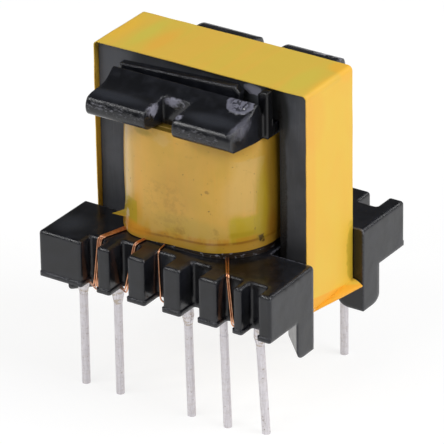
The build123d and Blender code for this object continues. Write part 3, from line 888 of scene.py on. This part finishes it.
def coil_relief(x, y, z, low):
    """How far the coil's tape stands off its even shape, in millimetres."""
    around = math.degrees(math.atan2(y, x))
    share = (z - COIL_LOW) / (COIL_HIGH - COIL_LOW)
    belly = COIL_BELLY * (1 - (2 * share - 1) ** 2) - WRAP_INSET
    wave = WRAP_WAVE * wander(7, around * 0.05, z * 0.16, 0)
    wrinkle = WRAP_WRINKLE * wander(8, around * 0.13, z * 0.5, 0)
    hem = HEM_STEP * clamp((low + HEM_HEIGHT - z) / HEM_FADE)
    lap = LAP_STEP if LAP_START < around < LAP_END and z > LAP_LOW else 0.0
    lifted_left = clamp((LIFT_RIGHT - x) / LIFT_RIGHT_FADE) * clamp((LIFT_REAR - y) / LIFT_REAR_FADE)
    lifted_low = clamp((LIFT_TOP - z) / LIFT_TOP_FADE) ** 2
    return belly + (wave + wrinkle) - hem + lap + LIFT * lifted_left * lifted_low


def coil_wrap():
    """The tape round the coil: fuller at half height, wrinkled, its lower edge slanting up to the right."""
    half_x = TUBE_HALF + COIL_BUILD
    half_y = TUBE_HALF + COIL_BUILD * FREE_SIDE_SWELL
    corner = TUBE_CORNER + COIL_BUILD * CORNER_SWELL
    high = COIL_HIGH - WRAP_HIGH_GAP
    outer, inner = [], []
    for point, normal in rounded_loop(half_x, half_y, corner, WRAP_SIDE_STEPS, WRAP_CORNER_STEPS):
        slant = WRAP_SLANT * max(0.0, point.x - WRAP_SLANT_START)
        waver = WRAP_EDGE_WAVER * wander(9, point.x * 0.6, point.y * 0.6, 0)
        low = COIL_LOW + WRAP_LOW_GAP + slant + waver
        outer_row, inner_row = [], []
        for row in range(WRAP_ROWS + 1):
            z = low + (high - low) * row / WRAP_ROWS
            rise = coil_relief(point.x, point.y, z, low)
            outer_row.append(standing_off(point, normal, rise, z))
            inner_row.append(standing_off(point, normal, rise - WRAP_THICKNESS, z))
        outer.append(outer_row)
        inner.append(inner_row)
    return sheet("wrap", outer, inner, True)


def coil_tab():
    """The coil tape's loose corner, a small pointed sheet at the lower left, its very tip cut off."""
    cut_tip = 0.03
    into_coil = Vector((0.03, 0.05, 0.0))
    outer, inner = [], []
    for step in range(TAB_STEPS + 1):
        along = step / TAB_STEPS * (1 - cut_tip)
        row = []
        for column in range(TAB_COLUMNS + 1):
            row.append(TAB_HIGH.lerp(TAB_FOOT, column / TAB_COLUMNS).lerp(TAB_TIP, along))
        outer.append([tuple(point) for point in row])
        inner.append([tuple(point + into_coil) for point in row])
    return sheet("corner", outer, inner, False)


def place_piece(piece, node, *materials):
    """Put a piece in a node's stead, with its own materials."""
    piece.data.materials.clear()
    for material in materials:
        piece.data.materials.append(material)
    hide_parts(node)
    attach(piece, "root")


core_tape = join("core_tape_band", [core_band(), core_flap()])
place_piece(core_tape, "core_tape", core_tape_finish(), glued_side_in_painted_shade())
coil_tape = join("coil_tape_wrap", [coil_wrap(), coil_tab()])
place_piece(coil_tape, "coil_tape", coil_tape_finish(), glued_side_in_painted_shade())


# Stage


def add_stage():
    """A wide pale floor under the object, its half side in metres."""
    half = 4.0
    points = [(-half, -half, 0.0), (half, -half, 0.0), (half, half, 0.0), (-half, half, 0.0)]
    mesh = bpy.data.meshes.new("studio_floor")
    mesh.from_pydata(points, [], [(0, 1, 2, 3)])
    floor = bpy.data.objects.new("studio_floor", mesh)
    floor.data.materials.append(studio_white())
    bpy.context.scene.collection.objects.link(floor)


def toward(azimuth, elevation):
    """The direction from the object to a place given by its angles, azimuth 0 being the front."""
    a = math.radians(azimuth)
    e = math.radians(elevation)
    return Vector((math.sin(a) * math.cos(e), -math.cos(a) * math.cos(e), math.sin(e)))


def add_light(name, azimuth, elevation, distance, size, strength):
    """A soft square lamp aimed at the object's middle; distance and size in metres."""
    aim = Vector((0, 0, 0.014))
    outward = toward(azimuth, elevation)
    data = bpy.data.lights.new(name, "AREA")
    data.shape = "SQUARE"
    data.size = size
    data.energy = strength
    lamp = bpy.data.objects.new(name, data)
    bpy.context.scene.collection.objects.link(lamp)
    lamp.location = aim + outward * distance
    lamp.rotation_euler = outward.to_track_quat("Z", "Y").to_euler()


def add_world(strength):
    """Even pale surroundings, seen as white where the camera looks past the floor."""
    world = bpy.data.worlds.new("studio")
    bpy.context.scene.world = world
    world.use_nodes = True
    tree = world.node_tree
    path = tree.nodes.new("ShaderNodeLightPath")
    background = tree.nodes["Background"]
    background.inputs["Color"].default_value = (1.0, 1.0, 1.0, 1.0)
    seen = remap(tree, path.outputs["Is Camera Ray"], 0.0, 1.0, strength, 1.0)
    link(tree, seen, background.inputs["Strength"])


def add_camera():
    """The camera at the photograph's angle."""
    a = math.radians(CAMERA_AZIMUTH)
    roll = math.radians(CAMERA_ROLL)
    right = Vector((math.cos(a), math.sin(a), 0))
    back = toward(CAMERA_AZIMUTH, CAMERA_ELEVATION)
    up = back.cross(right)
    turned_right = right * math.cos(roll) + up * math.sin(roll)
    turned_up = up * math.cos(roll) - right * math.sin(roll)
    data = bpy.data.cameras.new("camera")
    data.sensor_width = CAMERA_SENSOR
    data.lens = CAMERA_LENS
    data.clip_start = 0.01
    data.clip_end = 10
    camera = bpy.data.objects.new("camera", data)
    bpy.context.scene.collection.objects.link(camera)
    turn = Matrix((turned_right, turned_up, back)).transposed()
    camera.matrix_world = turn.to_4x4()
    camera.location = Vector(CAMERA_AIM) * MM + back * CAMERA_DISTANCE * MM
    bpy.context.scene.camera = camera


add_stage()
add_world(strength=0.08)
add_light("key", azimuth=100, elevation=36, distance=0.7, size=0.5, strength=3.8)
add_light("front", azimuth=-10, elevation=35, distance=0.8, size=0.42, strength=1.7)
add_light("left_glint", azimuth=-42, elevation=40, distance=0.8, size=0.16, strength=1.0)
add_light("right_glint", azimuth=150, elevation=28, distance=0.8, size=0.16, strength=0.45)
add_light("top", azimuth=20, elevation=80, distance=0.8, size=0.5, strength=1.05)
add_camera()

bpy.context.scene.view_settings.view_transform = "Standard"
